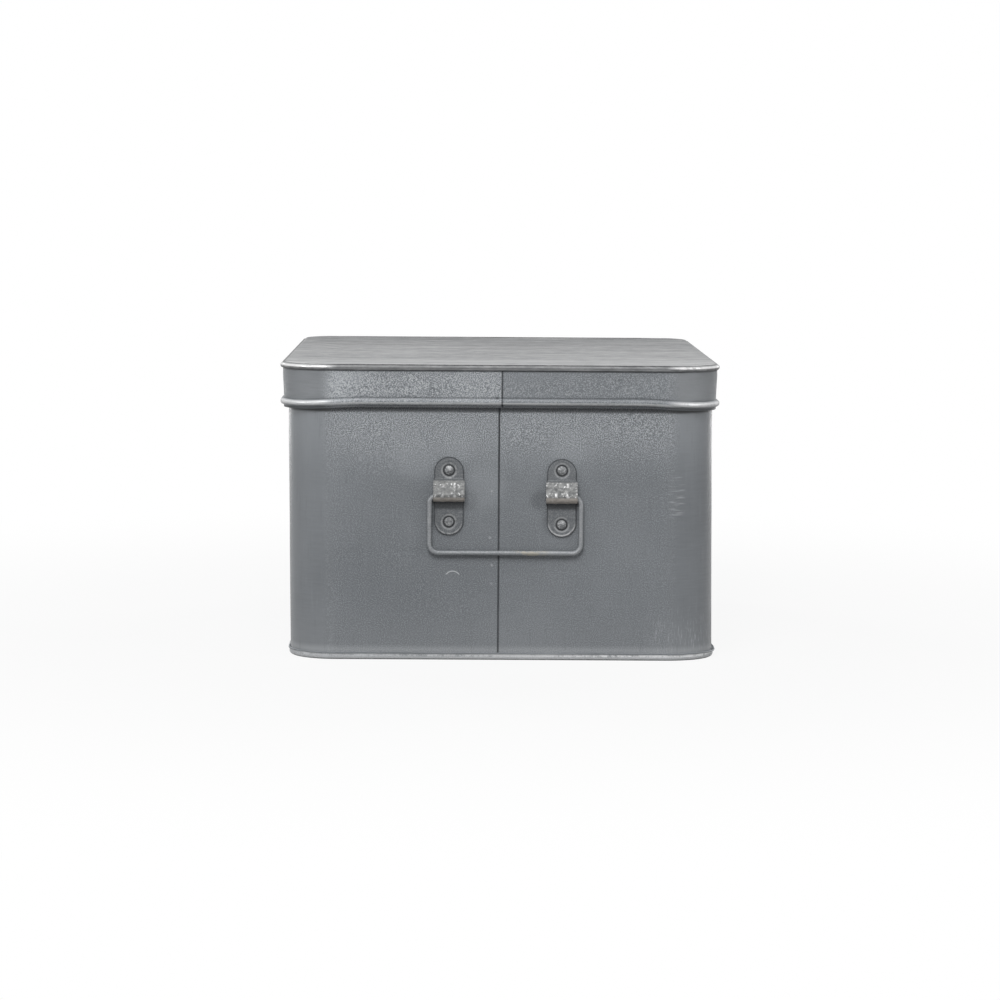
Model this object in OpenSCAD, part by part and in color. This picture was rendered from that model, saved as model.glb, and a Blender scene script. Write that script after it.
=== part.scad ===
// Small sheet-metal trunk with a lift-off lid and a wire bail handle at each end.
// The body is two half shells lapped at the middle of both ends, set in a flanged base pan.
// The lid is a flat panel rolled over a two-piece band, with a bead pressed round its lower edge.
// X runs across the width, Y along the length, Z up. The origin is on the table, under the middle.
// The front end faces -Y. Left and right at an end are as seen by someone facing that end.

/* [Trunk] */
// Width of the body over its sheet sides
body_w = 290; // [230:1:380]
// Length of the body over its sheet ends
body_l = 390; // [280:1:520]
// Height from the table to the flat top of the lid
trunk_h = 201.6; // [165:0.1:300]
// Outside radius of the body's upright corners
corner_r = 32; // [20:1:50]

/* [Sheet] */
// Thickness of the sheet in the body, the base and the lid
sheet_t = 0.8; // [0.6:0.05:1.2]
// Width of the tongue hidden in each lapped seam
lap_w = 8; // [5:0.5:14]
// Length of the step that takes a sheet in behind its neighbour
joggle_l = 1; // [0.6:0.1:2]
// Distance of the body's front seam to the right of the middle
body_seam = -1.5; // [-6:0.1:6]
// Distance of the lid's front seam to the right of the lid's middle
lid_seam = 0.8; // [-6:0.1:6]

/* [Rim and base] */
// Diameter of the wire that the body's rim is rolled round
rim_wire_d = 2.4; // [1.6:0.1:4]
// Height of the base pan's turned-up edge
pan_h = 5; // [4:0.1:10]
// Outside radius of the bend between the pan's floor and its edge
pan_bend_r = 2.2; // [1.8:0.1:3]
// How far the pan's edge flares outwards over its top part
pan_flare = 0.6; // [0:0.1:1]
// Height of that flared part
flare_h = 1.6; // [1:0.1:1.8]

/* [Lid] */
// Height of the lid from its lower edge to its flat top
lid_h = 29.2; // [24:0.1:45]
// Gap between the lid's lower edge and the body, all round
lid_play = 2; // [1.5:0.1:4]
// How far the lid sits to one side in that gap
lid_set = -0.4; // [-0.6:0.1:0.6]
// How much wider the band stands at its top than at its lower edge, each side
band_taper = 0.85; // [0:0.05:1.5]
// Outside radius of the bead pressed round the band
bead_r = 2.1; // [1.8:0.1:3]
// How far that bead stands out from the band
bead_proud = 2.45; // [2.1:0.05:3.2]
// Height of the bead's middle above the lid's lower edge
bead_z = 4; // [3.6:0.1:8]
// Outside radius of the edge rolled down over the band
roll_r = 1.85; // [1.6:0.05:2.6]
// How far that rolled edge stands out from the band
roll_proud = 1.55; // [1.4:0.05:1.8]
// Height of the flat top above the rolled edge
panel_rise = 0.9; // [0.5:0.1:1.6]
// Distance from the band's outside face in to the foot of that rise
panel_inset = 0.9; // [0.6:0.1:4]

/* [Bail handles] */
// Width of the bail over its legs
bail_w = 106.3; // [90:0.1:150]
// Drop from the bail's pivot to the middle of its bar
bail_drop = 37.6; // [33:0.1:55]
// Diameter of the bail's wire
bail_d = 3.5; // [2.5:0.1:4.2]
// Radius of the bend between a leg and the bar, at the wire's middle
bar_bend_r = 6; // [4:0.5:12]
// Radius of the bend between a leg and its pivot end, at the wire's middle
pivot_bend_r = 3.4; // [2.4:0.1:3.6]
// Length of a pivot end, from the middle of the leg to its tip
pivot_l = 18; // [12:0.5:22]
// Depth of the pivot below the lid's lower edge
pivot_drop = 60.8; // [57:0.1:75]
// Distance of a handle to the right of the middle of its end
handle_x = 3.3; // [-10:0.1:10]

/* [Brackets] */
// Thickness of the bracket's strap
strap_t = 1.2; // [0.8:0.1:2]
// Width of the strap's flat tabs
strap_w = 20; // [16:0.1:24]
// How much the loop spreads over the width of the tabs
loop_spread = 1.2; // [0:0.1:2]
// Inside radius of the loop's nose
loop_r = 3; // [2.6:0.1:4]
// Height of the bend in the loop's upper slope above the middle of the nose
knee_up = 6.75; // [5.5:0.05:8]
// Distance of that bend outwards from the middle of the nose
knee_out = 0.95; // [0.2:0.05:1.6]
// Height of the place where the strap leaves the wall above the middle of the nose
root_up = 10.85; // [9.5:0.05:14]
// Height of the upper rivet above that place
upper_run = 6.2; // [5.8:0.1:12]
// Depth of the lower rivet below the loop
lower_run = 13.85; // [7:0.05:20]
// Distance from a rivet to the round end of its tab
rivet_end = 9; // [7:0.1:12]
// How much lower the right strap of each handle sits than the left one
strap_drop = 1.2; // [0:0.1:1.6]
// How much lower the right strap's lower rivet sits than the left strap's
rivet_drop = 1.9; // [0:0.1:2.4]

/* [Rivets] */
// Diameter of a rivet's shank
rivet_d = 3.2; // [2.4:0.1:4]
// Diameter of the head on the bracket
head_d = 6.4; // [5.4:0.1:7]
// Height of that head
head_h = 1.3; // [0.8:0.1:2]
// Diameter of the tail closed against the inside of the wall
tail_d = 5.6; // [4.6:0.1:7]
// Height of that tail
tail_h = 1.1; // [0.7:0.1:1.6]
// Width of the ring dished into the strap round a head
dish_w = 2.1; // [1:0.1:2.2]
// Depth of that ring
dish_t = 0.3; // [0.1:0.05:0.5]

/* [Fits] */
// Gap between sheets and wires that are fixed together
fixed_gap = 0.05; // [0.02:0.01:0.1]
// Gap in a seam, between the outer sheet's edge and the step behind it
seam_gap = 0.4; // [0.1:0.05:0.5]
// Gap between the lid's panel and the rim that carries it
lid_rest = 0.3; // [0.2:0.05:0.5]
// Gap between a pivot end and the bottom of its loop
bail_gap = 0.2; // [0.15:0.01:0.3]
// Gap between the bail's wire and the wall behind it
wall_gap = 0.7; // [0.5:0.05:2]
// Gap between a leg and the side of its bracket
leg_gap = 0.8; // [0.5:0.1:3]

/* [Hidden] */
$fn = 72;
sheet_grey = [0.46, 0.48, 0.49];
base_grey = [0.61, 0.62, 0.63];
top_grey = [0.62, 0.62, 0.62];
band_grey = [0.52, 0.54, 0.55];
wire_grey = [0.53, 0.53, 0.55];
strap_grey = [0.56, 0.57, 0.57];
rivet_grey = [0.60, 0.61, 0.61];

// The four upright corners of body, base and lid turn about the same centres.
turn_x = body_w / 2 - corner_r;
turn_y = body_l / 2 - corner_r;

// Lid, from the top down. Its profiles are drawn outwards from a corner's centre.
lid_z = trunk_h - lid_h;
roll_z = trunk_h - panel_rise - roll_r;
band_top = roll_z + roll_r - sheet_t - fixed_gap;
band_out = corner_r + lid_play + sheet_t + band_taper;
roll_x = band_out + roll_proud - roll_r;
rise_x = band_out - panel_inset - panel_rise;
lap_in = sheet_t + fixed_gap;

// Body, between the pan and the lid's panel.
curl_r = rim_wire_d / 2 + fixed_gap + sheet_t;
rim_top = trunk_h - sheet_t - lid_rest;
rim_z = rim_top - curl_r;
rim_x = corner_r - curl_r;
tongue_top = rim_top - 2 * curl_r - fixed_gap;
pan_x = corner_r + fixed_gap;
pan_bend_in = pan_bend_r - sheet_t;
shell_z = pan_bend_r + fixed_gap - sqrt(pow(pan_bend_in, 2) - pow(pan_bend_in - fixed_gap, 2));

// Handle, measured outwards from the wall and up from the table.
pivot_z = lid_z - pivot_drop;
pivot_out = wall_gap + bail_d / 2;
leg_x = (bail_w - bail_d) / 2;
loop_w = strap_w + loop_spread;
bracket_x = leg_x - bail_d / 2 - leg_gap - loop_w / 2;
nose_z = pivot_z - bail_d / 2 - bail_gap + loop_r;
loop_base = nose_z - loop_r - strap_t;
root_z = nose_z + root_up;
upper_rivet_z = root_z + upper_run;
lower_rivet_z = loop_base - lower_run;
strap_top = upper_rivet_z + rivet_end;
strap_low = lower_rivet_z - rivet_end;

// Outside face of the lid's band at height z, from a corner's centre.
function band_x(z) = band_out - band_taper * (band_top - z) / (band_top - lid_z);

// Where the line from p touches a circle of radius r about c, as an angle seen from c.
function touch_angle(c, p, r) =
    atan2(p.y - c.y, p.x - c.x) - acos(r / norm(p - c));

// A profile carried straight or round a corner. Its x points outwards from the corners' centres.
module front_run(x0, x1) {
    translate([x1, -turn_y, 0])
        rotate([90, 0, -90])
            linear_extrude(x1 - x0)
                children();
}

module side_run() {
    translate([-turn_x, -turn_y, 0])
        rotate([90, 0, 180])
            linear_extrude(2 * turn_y)
                children();
}

module rear_run(x0, x1) {
    translate([x0, turn_y, 0])
        rotate([90, 0, 90])
            linear_extrude(x1 - x0)
                children();
}

module left_corner(end, start) {
    translate([-turn_x, end * turn_y, 0])
        rotate([0, 0, start])
            rotate_extrude(angle = 90)
                children();
}

// The left half of a ring: up to x = front along the front end, and to x = rear along the rear.
module left_half(front, rear) {
    front_run(-turn_x, front)
        children();
    left_corner(-1, 180)
        children();
    side_run()
        children();
    left_corner(1, 90)
        children();
    rear_run(-turn_x, rear)
        children();
}

module ring() {
    left_half(0, 0)
        children();
    rotate([0, 0, 180])
        left_half(0, 0)
            children();
}

// A flat sheet with round corners of radius r about the corners' centres.
module round_plate(r, z, t) {
    translate([0, 0, z])
        linear_extrude(t) {
            square([2 * (turn_x + r), 2 * turn_y], center = true);
            square([2 * turn_x, 2 * (turn_y + r)], center = true);
            for (x = [-1, 1], y = [-1, 1])
                translate([x * turn_x, y * turn_y])
                    circle(r);
        }
}

// Heights of a strap's upper and lower rivet, for the left strap at side -1 and the right one at 1.
function rivet_heights(side) = [upper_rivet_z, lower_rivet_z - (side > 0 ? rivet_drop : 0)];

// The places of the rivets on an end: [distance to the right of the middle, height].
function rivet_places() = [
    for (side = [-1, 1], z = rivet_heights(side))
        [handle_x + side * bracket_x, z]
];

module rivet_holes() {
    for (place = rivet_places())
        translate([place.x, -body_l / 2, place.y])
            rotate([90, 0, 0])
                cylinder(h = 4 * (strap_t + sheet_t), d = rivet_d + 2 * fixed_gap, center = true);
}

// Body wall with its rim curled inwards round the rim wire.
module wall_profile() {
    translate([corner_r - sheet_t, shell_z])
        square([sheet_t, rim_z - shell_z]);
    difference() {
        translate([rim_x, rim_z])
            circle(curl_r);
        translate([rim_x, rim_z])
            circle(rim_wire_d / 2 + fixed_gap);
        translate([rim_x + rim_wire_d / 4, rim_z - 2 * curl_r])
            square([rim_wire_d, 2 * curl_r]);
    }
}

// Step and tongue that take a shell's rear end in behind the other shell.
module body_tongue(rear) {
    out = body_l / 2;
    tip = rear + joggle_l + seam_gap + lap_w;
    translate([0, 0, shell_z])
        linear_extrude(tongue_top - shell_z)
            polygon([
                [rear - joggle_l, out],
                [rear, out],
                [rear + joggle_l, out - lap_in],
                [tip, out - lap_in],
                [tip, out - lap_in - sheet_t],
                [rear + joggle_l / 2, out - lap_in - sheet_t],
                [rear - joggle_l / 2, out - sheet_t],
                [rear - joggle_l, out - sheet_t],
            ]);
}

module half_shell() {
    rear = -body_seam - seam_gap - joggle_l;
    difference() {
        union() {
            left_half(body_seam, rear)
                wall_profile();
            body_tongue(rear);
        }
        rivet_holes();
        rotate([0, 0, 180])
            rivet_holes();
    }
}

module body_left_shell() {
    color(sheet_grey)
        half_shell();
}

module body_right_shell() {
    color(sheet_grey)
        rotate([0, 0, 180])
            half_shell();
}

// Turned-up edge of the base pan, with a round bend below and a flared lip above.
module pan_profile() {
    bend_x = pan_x + sheet_t - pan_bend_r;
    flare_z = pan_h - flare_h;
    intersection() {
        difference() {
            translate([bend_x, pan_bend_r])
                circle(pan_bend_r);
            translate([bend_x, pan_bend_r])
                circle(pan_bend_in);
        }
        translate([bend_x, 0])
            square(pan_bend_r);
    }
    translate([bend_x - sheet_t, 0])
        square([sheet_t, sheet_t]);
    translate([pan_x, pan_bend_r])
        square([sheet_t, flare_z - pan_bend_r]);
    polygon([
        [pan_x, flare_z],
        [pan_x + sheet_t, flare_z],
        [pan_x + sheet_t + pan_flare, pan_h],
        [pan_x + pan_flare, pan_h],
    ]);
}

module base_pan() {
    color(base_grey) {
        ring()
            pan_profile();
        round_plate(pan_x - pan_bend_r + sheet_t / 2, 0, sheet_t);
    }
}

module rim_wire() {
    color(wire_grey)
        ring()
            translate([rim_x, rim_z])
                circle(d = rim_wire_d);
}

// Edge of the lid's panel: the rise to the flat top, and the edge rolled down over the band.
module panel_profile() {
    rise_z = trunk_h - panel_rise;
    translate([rise_x - sheet_t, trunk_h - sheet_t])
        square([sheet_t, sheet_t]);
    intersection() {
        translate([rise_x, rise_z])
            circle(panel_rise);
        translate([rise_x, rise_z])
            square(panel_rise);
    }
    translate([rise_x, rise_z - sheet_t])
        square([roll_x - rise_x, sheet_t]);
    difference() {
        translate([roll_x, roll_z])
            circle(roll_r);
        translate([roll_x, roll_z])
            circle(roll_r - sheet_t);
        translate([roll_x - roll_r, roll_z - roll_r])
            square([roll_r, 2 * roll_r]);
        translate([roll_x - roll_r, roll_z - roll_r])
            square([band_out + fixed_gap - roll_x + roll_r, 2 * roll_r - sheet_t]);
    }
}

module lid_panel() {
    color(top_grey)
        translate([lid_set, 0, 0]) {
            ring()
                panel_profile();
            round_plate(rise_x - sheet_t / 2, trunk_h - sheet_t, sheet_t);
        }
}

// Tapered band with its bead, drawn from a depth inside the outer sheet's face.
module band_profile(inset, thick) {
    bead_x = band_x(lid_z + bead_z) + bead_proud - bead_r;
    hollow_r = bead_r - inset - thick;
    difference() {
        union() {
            polygon([
                [band_x(lid_z) - inset - thick, lid_z],
                [band_x(lid_z) - inset, lid_z],
                [band_out - inset, band_top],
                [band_out - inset - thick, band_top],
            ]);
            translate([bead_x, lid_z + bead_z])
                circle(bead_r - inset);
        }
        translate([bead_x, lid_z + bead_z])
            circle(hollow_r);
        translate([bead_x - 3 * bead_r, lid_z + bead_z - hollow_r])
            square([3 * bead_r, 2 * hollow_r]);
        polygon([
            [band_x(lid_z) - inset - thick, lid_z],
            [band_out - inset - thick, band_top],
            [band_out - 4 * bead_r, band_top],
            [band_out - 4 * bead_r, lid_z],
        ]);
    }
}

module half_band() {
    rear = -lid_seam - seam_gap - joggle_l;
    step = rear + joggle_l;
    left_half(lid_seam, step)
        band_profile(0, sheet_t);
    rear_run(rear, step)
        band_profile(0, sheet_t + lap_in);
    rear_run(rear, step + seam_gap + lap_w)
        band_profile(lap_in, sheet_t);
}

module lid_left_band() {
    color(band_grey)
        translate([lid_set, 0, 0])
            half_band();
}

module lid_right_band() {
    color(band_grey)
        translate([lid_set, 0, 0])
            rotate([0, 0, 180])
                half_band();
}

// One half of the bail's wire, from the tip of its pivot end to the middle of its bar.
module half_bail() {
    bend_z = -bail_drop + bar_bend_r;
    translate([leg_x - pivot_l, 0, 0])
        rotate([0, 90, 0])
            cylinder(h = pivot_l - pivot_bend_r, d = bail_d);
    translate([leg_x - pivot_bend_r, 0, -pivot_bend_r])
        rotate([90, 0, 0])
            rotate_extrude(angle = 90)
                translate([pivot_bend_r, 0])
                    circle(d = bail_d);
    translate([leg_x, 0, bend_z])
        cylinder(h = -pivot_bend_r - bend_z, d = bail_d);
    translate([leg_x - bar_bend_r, 0, bend_z])
        rotate([90, 90, 0])
            rotate_extrude(angle = 90)
                translate([bar_bend_r, 0])
                    circle(d = bail_d);
    translate([0, 0, -bail_drop])
        rotate([0, 90, 0])
            cylinder(h = leg_x - bar_bend_r, d = bail_d);
}

module bail() {
    translate([handle_x, -body_l / 2 - pivot_out, pivot_z]) {
        half_bail();
        mirror([1, 0, 0])
            half_bail();
    }
}

// One flat run of bent strap: its inner face goes from p to q, with the strap to the right.
module strap_run(p, q) {
    translate(p)
        rotate(atan2(q.y - p.y, q.x - p.x))
            translate([0, -strap_t])
                square([norm(q - p), strap_t]);
}

// The round outside of a bend whose inner corner is at p, between directions a and b.
module strap_bend(p, a, b) {
    far = 2 * strap_t;
    translate(p)
        intersection() {
            circle(strap_t);
            polygon([
                [0, 0],
                far * [cos(a), sin(a)],
                far * [cos((a + b) / 2), sin((a + b) / 2)],
                far * [cos(b), sin(b)],
            ]);
        }
}

// Side view of a bracket: x outwards from the wall, y up.
module strap_profile() {
    nose = [pivot_out, nose_z];
    knee = nose + [knee_out, knee_up];
    root = [0, root_z];
    touch = touch_angle(nose, knee, loop_r);
    rise = atan2(root.y - knee.y, root.x - knee.x);
    far = 4 * loop_r;
    translate([0, strap_low])
        square([strap_t, loop_base + strap_t - strap_low]);
    translate([0, loop_base])
        square([pivot_out, strap_t]);
    translate(nose)
        intersection() {
            difference() {
                circle(loop_r + strap_t);
                circle(loop_r);
            }
            polygon([
                [0, 0],
                [0, -far],
                [far, -far],
                far * [cos(touch), sin(touch)],
            ]);
        }
    strap_run(nose + loop_r * [cos(touch), sin(touch)], knee);
    strap_bend(knee, touch, rise - 90);
    strap_run(knee, root);
    translate([0, root_z])
        square([strap_t, strap_top - root_z]);
}

// Front view of a bracket, for cutting the strap to its outline.
module strap_outline() {
    for (z = [strap_low + strap_w / 2, strap_top - strap_w / 2])
        translate([0, z])
            circle(d = strap_w);
    translate([-strap_w / 2, strap_low + strap_w / 2])
        square([strap_w, strap_top - strap_low - strap_w]);
    translate([-loop_w / 2, loop_base])
        square([loop_w, root_z - strap_t / 2 - loop_base]);
}

module bracket(side) {
    deep = 2 * (pivot_out + loop_r + strap_t);
    drop = side > 0 ? strap_drop : 0;
    translate([handle_x + side * bracket_x, -body_l / 2, 0])
        difference() {
            intersection() {
                translate([loop_w / 2, 0, -drop])
                    rotate([90, 0, -90])
                        linear_extrude(loop_w)
                            strap_profile();
                translate([0, 0, -drop])
                    rotate([90, 0, 0])
                        linear_extrude(deep)
                            strap_outline();
            }
            for (z = rivet_heights(side))
                translate([0, 0, z])
                    rotate([90, 0, 0]) {
                        cylinder(h = deep, d = rivet_d + 2 * fixed_gap, center = true);
                        translate([0, 0, strap_t - dish_t])
                            cylinder(h = deep, d = head_d + 2 * dish_w);
                    }
        }
}

// A rivet stands along its axis, with the wall's outside face at height 0.
module rivet_dome(d, h) {
    edge = 0.3 * h;
    crown = h - edge;
    ball = (pow(d / 2, 2) + pow(crown, 2)) / (2 * crown);
    intersection() {
        translate([0, h - ball])
            circle(ball);
        square([d / 2, h]);
    }
}

module rivet(place) {
    translate([place.x, -body_l / 2, place.y])
        rotate([90, 0, 0])
            rotate_extrude() {
                translate([0, strap_t - dish_t])
                    rivet_dome(head_d, head_h);
                translate([0, -sheet_t])
                    square([rivet_d / 2, sheet_t + strap_t - dish_t]);
                translate([0, -sheet_t])
                    mirror([0, 1])
                        rivet_dome(tail_d, tail_h);
            }
}

module front_bail() {
    color(wire_grey)
        bail();
}

module rear_bail() {
    color(wire_grey)
        rotate([0, 0, 180])
            bail();
}

module front_bracket(side) {
    color(strap_grey)
        bracket(side);
}

module rear_bracket(side) {
    color(strap_grey)
        rotate([0, 0, 180])
            bracket(side);
}

module front_rivet(number) {
    color(rivet_grey)
        rivet(rivet_places()[number]);
}

module rear_rivet(number) {
    color(rivet_grey)
        rotate([0, 0, 180])
            rivet(rivet_places()[number]);
}

body_left_shell();
body_right_shell();
base_pan();
rim_wire();
lid_panel();
lid_left_band();
lid_right_band();
front_bail();
front_bracket(-1);  // front_left_bracket
front_bracket(1);  // front_right_bracket
front_rivet(0);  // front_left_upper_rivet
front_rivet(1);  // front_left_lower_rivet
front_rivet(2);  // front_right_upper_rivet
front_rivet(3);  // front_right_lower_rivet
rear_bail();
rear_bracket(-1);  // rear_left_bracket
rear_bracket(1);  // rear_right_bracket
rear_rivet(0);  // rear_left_upper_rivet
rear_rivet(1);  // rear_left_lower_rivet
rear_rivet(2);  // rear_right_upper_rivet
rear_rivet(3);  // rear_right_lower_rivet
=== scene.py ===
import math

import bpy
from mathutils import Matrix, Vector


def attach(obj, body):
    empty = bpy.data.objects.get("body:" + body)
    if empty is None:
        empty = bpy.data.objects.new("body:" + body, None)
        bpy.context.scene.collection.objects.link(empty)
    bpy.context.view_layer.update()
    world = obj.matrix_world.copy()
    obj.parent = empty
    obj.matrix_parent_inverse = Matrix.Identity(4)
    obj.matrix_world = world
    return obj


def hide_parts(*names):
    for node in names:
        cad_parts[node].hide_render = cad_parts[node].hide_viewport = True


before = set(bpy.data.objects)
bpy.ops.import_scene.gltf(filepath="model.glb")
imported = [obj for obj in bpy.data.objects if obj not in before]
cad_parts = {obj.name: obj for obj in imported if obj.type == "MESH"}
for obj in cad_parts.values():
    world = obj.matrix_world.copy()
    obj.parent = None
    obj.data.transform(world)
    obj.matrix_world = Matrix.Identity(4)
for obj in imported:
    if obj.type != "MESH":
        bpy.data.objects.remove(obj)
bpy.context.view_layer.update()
mm = 0.001


# ---- Base pan ----
# A shallow pan of pressed steel sheet that closes the trunk from below. Its edge is turned up
# round the walls and knocked against them by hand, so the lip is wavy and flares at the corners.

turn_x = 113 * mm  # the corners of base, body and lid all turn about the same four centres
turn_y = 163 * mm
sheet_t = 0.8 * mm
corner_steps = 24  # faces round a corner, along a long side and along half of an end
side_steps = 96
end_steps = 34


def begin(name):
    """A new object of one point, in edit mode."""
    bpy.ops.object.select_all(action="DESELECT")
    bpy.ops.mesh.primitive_plane_add(size=mm)
    sheet = bpy.context.object
    sheet.name = sheet.data.name = name
    bpy.ops.object.mode_set(mode="EDIT")
    bpy.ops.mesh.select_mode(type="VERT")
    bpy.ops.mesh.select_all(action="SELECT")
    bpy.ops.mesh.merge(type="CENTER")
    return sheet


def draw(points):
    """Extrudes the one point along a line of points, and leaves the whole line selected."""
    here = Vector(points[0])
    bpy.ops.mesh.select_all(action="SELECT")
    bpy.ops.transform.translate(value=here)
    for point in points[1:]:
        step = Vector(point) - here
        bpy.ops.mesh.extrude_region_move(TRANSFORM_OT_translate={"value": step})
        here = Vector(point)
    bpy.ops.mesh.select_all(action="SELECT")


def run(way, steps):
    """Extrudes what is selected straight along way."""
    step = Vector(way) / steps
    for _ in range(steps):
        bpy.ops.mesh.extrude_region_move(TRANSFORM_OT_translate={"value": step})


def turn(centre, degrees, steps, axis=(0, 0, -1)):
    """Spins what is selected about an upright axis, anticlockwise as seen from above."""
    bpy.ops.mesh.spin(steps=steps, angle=math.radians(degrees), center=centre, axis=axis)


def half_ring(front, rear):
    """Carries a profile from x = front on the front end round the left side to x = rear."""
    run((-turn_x - front, 0, 0), end_steps)
    turn((-turn_x, -turn_y, 0), -90, corner_steps)
    run((0, 2 * turn_y, 0), side_steps)
    turn((-turn_x, turn_y, 0), -90, corner_steps)
    run((turn_x + rear, 0, 0), end_steps)


def full_ring():
    """Carries a profile from the middle of the front end all the way round."""
    half_ring(0, 0)
    run((turn_x, 0, 0), end_steps)
    turn((turn_x, turn_y, 0), -90, corner_steps)
    run((0, -2 * turn_y, 0), side_steps)
    turn((turn_x, -turn_y, 0), -90, corner_steps)
    run((-turn_x, 0, 0), end_steps)


def arc(centre, radius, start, end, steps):
    """Points on a circle in a side view: distance outwards, and height."""
    turned = [math.radians(start + (end - start) * i / steps) for i in range(steps + 1)]
    return [(centre[0] + radius * math.cos(a), centre[1] + radius * math.sin(a)) for a in turned]


def spaced(start, end, longest):
    """Points from start to end, both with it, no further apart than longest."""
    start, end = Vector(start), Vector(end)
    count = max(1, math.ceil((end - start).length / longest))
    return [tuple(start.lerp(end, i / count)) for i in range(count + 1)]


def at_front(x, profile):
    """A profile, in millimetres from the corners' centres, stood on the front end at x."""
    kept = [p for i, p in enumerate(profile) if i == 0 or math.dist(p, profile[i - 1]) > 1e-6]
    return [(x, -turn_y - out * mm, height * mm) for out, height in kept]


def plate(height):
    """Fills the rectangle between the corners' centres with a grid that meets the ring."""
    bpy.ops.mesh.primitive_grid_add(
        x_subdivisions=2 * end_steps, y_subdivisions=side_steps, size=1, location=(0, 0, height)
    )
    bpy.ops.transform.resize(value=(2 * turn_x, 2 * turn_y, 1), center_override=(0, 0, height))


def close_up():
    """Merges doubles, turns the faces outwards and leaves edit mode."""
    bpy.ops.mesh.select_all(action="SELECT")
    bpy.ops.mesh.remove_doubles(threshold=0.01 * mm)
    bpy.ops.mesh.normals_make_consistent(inside=False)
    bpy.ops.object.mode_set(mode="OBJECT")


def use(sheet, kind, **settings):
    """Adds a modifier with its settings and applies it."""
    modifier = sheet.modifiers.new(kind.lower(), kind)
    for setting, value in settings.items():
        setattr(modifier, setting, value)
    bpy.context.view_layer.objects.active = sheet
    bpy.ops.object.modifier_apply(modifier=modifier.name)


def weigh(sheet, name, weight):
    """A vertex group whose weights come from each point's place, in millimetres."""
    group = sheet.vertex_groups.new(name=name)
    for vertex in sheet.data.vertices:
        group.add([vertex.index], min(1, max(0, weight(*(vertex.co / mm)))), "REPLACE")


def waver(sheet, group, weight, size, depth, direction="NORMAL", inwards=0.5):
    """Uneven waves of a size and depth in millimetres, and the share of them that goes inwards."""
    weigh(sheet, group, weight)
    clouds = bpy.data.textures.new(f"{sheet.name}_{group}", "CLOUDS")
    clouds.noise_scale = size * mm
    use(
        sheet, "DISPLACE", texture=clouds, texture_coords="LOCAL", vertex_group=group,
        strength=depth * mm, direction=direction, mid_level=inwards,
    )


def push(sheet, group, weight, distance, direction="NORMAL"):
    """Moves a sheet by a distance in millimetres, as far as weight says at each place."""
    weigh(sheet, group, weight)
    use(
        sheet, "DISPLACE", vertex_group=group, strength=distance * mm, mid_level=0,
        direction=direction,
    )


def thicken(sheet, thick=sheet_t):
    """Gives a sheet its thickness, inwards from the face that was drawn."""
    use(sheet, "SOLIDIFY", thickness=thick, offset=-1, use_even_offset=True)


def smooth(sheet, degrees=40):
    """Shades a sheet smooth, but for the edges sharper than some degrees."""
    bpy.ops.object.select_all(action="DESELECT")
    sheet.select_set(True)
    bpy.context.view_layer.objects.active = sheet
    bpy.ops.object.shade_smooth_by_angle(angle=math.radians(degrees))


def rise(low, high, value):
    """0 up to low, 1 from high on, smooth between them. High may be the lower one."""
    part = min(1, max(0, (value - low) / (high - low)))
    return part * part * (3 - 2 * part)


class Signal:
    """A node's output. Arithmetic on it adds Math nodes."""

    def __init__(self, finish, socket):
        self.finish, self.socket = finish, socket

    def math(self, operation, *values):
        return self.finish.node("Math", {"operation": operation}, dict(enumerate(values)))

    def __add__(self, other): return self.math("ADD", self, other)
    def __radd__(self, other): return self.math("ADD", other, self)
    def __sub__(self, other): return self.math("SUBTRACT", self, other)
    def __rsub__(self, other): return self.math("SUBTRACT", other, self)
    def __mul__(self, other): return self.math("MULTIPLY", self, other)
    def __rmul__(self, other): return self.math("MULTIPLY", other, self)
    def __abs__(self): return self.math("ABSOLUTE", self)
    def sign(self): return self.math("SIGN", self)
    def larger(self, other): return self.math("MAXIMUM", self, other)

    def ramp(self, low, high):
        """0 up to low, 1 from high on, smooth between them. High may be the lower one."""
        return self.finish.node(
            "MapRange", {"interpolation_type": "SMOOTHSTEP"}, {0: self, 1: low, 2: high}
        )


class Finish:
    """The nodes of a new material, or of the world, under construction."""

    def __init__(self, holder):
        self.holder = holder
        self.holder.use_nodes = True
        self.tree = holder.node_tree
        self.tree.nodes.clear()

    def node(self, kind, settings, sockets, output=0):
        """Any node: its type, its settings, and the values or links of its sockets."""
        made = self.tree.nodes.new("ShaderNode" + kind)
        for setting, value in settings.items():
            setattr(made, setting, value)
        for socket, value in sockets.items():
            if isinstance(value, Signal):
                self.tree.links.new(value.socket, made.inputs[socket])
            else:
                made.inputs[socket].default_value = value
        return Signal(self, made.outputs[output]) if made.outputs else None

    def places(self, scale=(1, 1, 1)):
        """The object's own coordinates in metres, stretched by scale."""
        place = self.node("TexCoord", {}, {}, "Object")
        return self.node("Mapping", {}, {"Vector": place, "Scale": scale})

    def noise(self, scale, detail=2.0, stretch=(1, 1, 1), roughness=0.5):
        """Smooth noise with about scale lumps to a metre."""
        place = self.places(stretch)
        sockets = {"Vector": place, "Scale": scale, "Detail": detail, "Roughness": roughness}
        return self.node("TexNoise", {}, sockets)

    def mix(self, amount, first, second):
        """A colour between two, which are colours or signals."""
        return self.node("Mix", {"data_type": "RGBA"}, {0: amount, 6: first, 7: second}, 2)

    def surface(self, sockets, bump=None, strength=1.0, distance=0.1 * mm):
        """Ends the material in one principled surface, with a bump under it."""
        if bump is not None:
            sockets["Normal"] = self.node(
                "Bump", {}, {"Strength": strength, "Distance": distance, "Height": bump}
            )
        shader = self.node("BsdfPrincipled", {}, sockets)
        self.node("OutputMaterial", {}, {"Surface": shader})
        return self.holder


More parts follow.
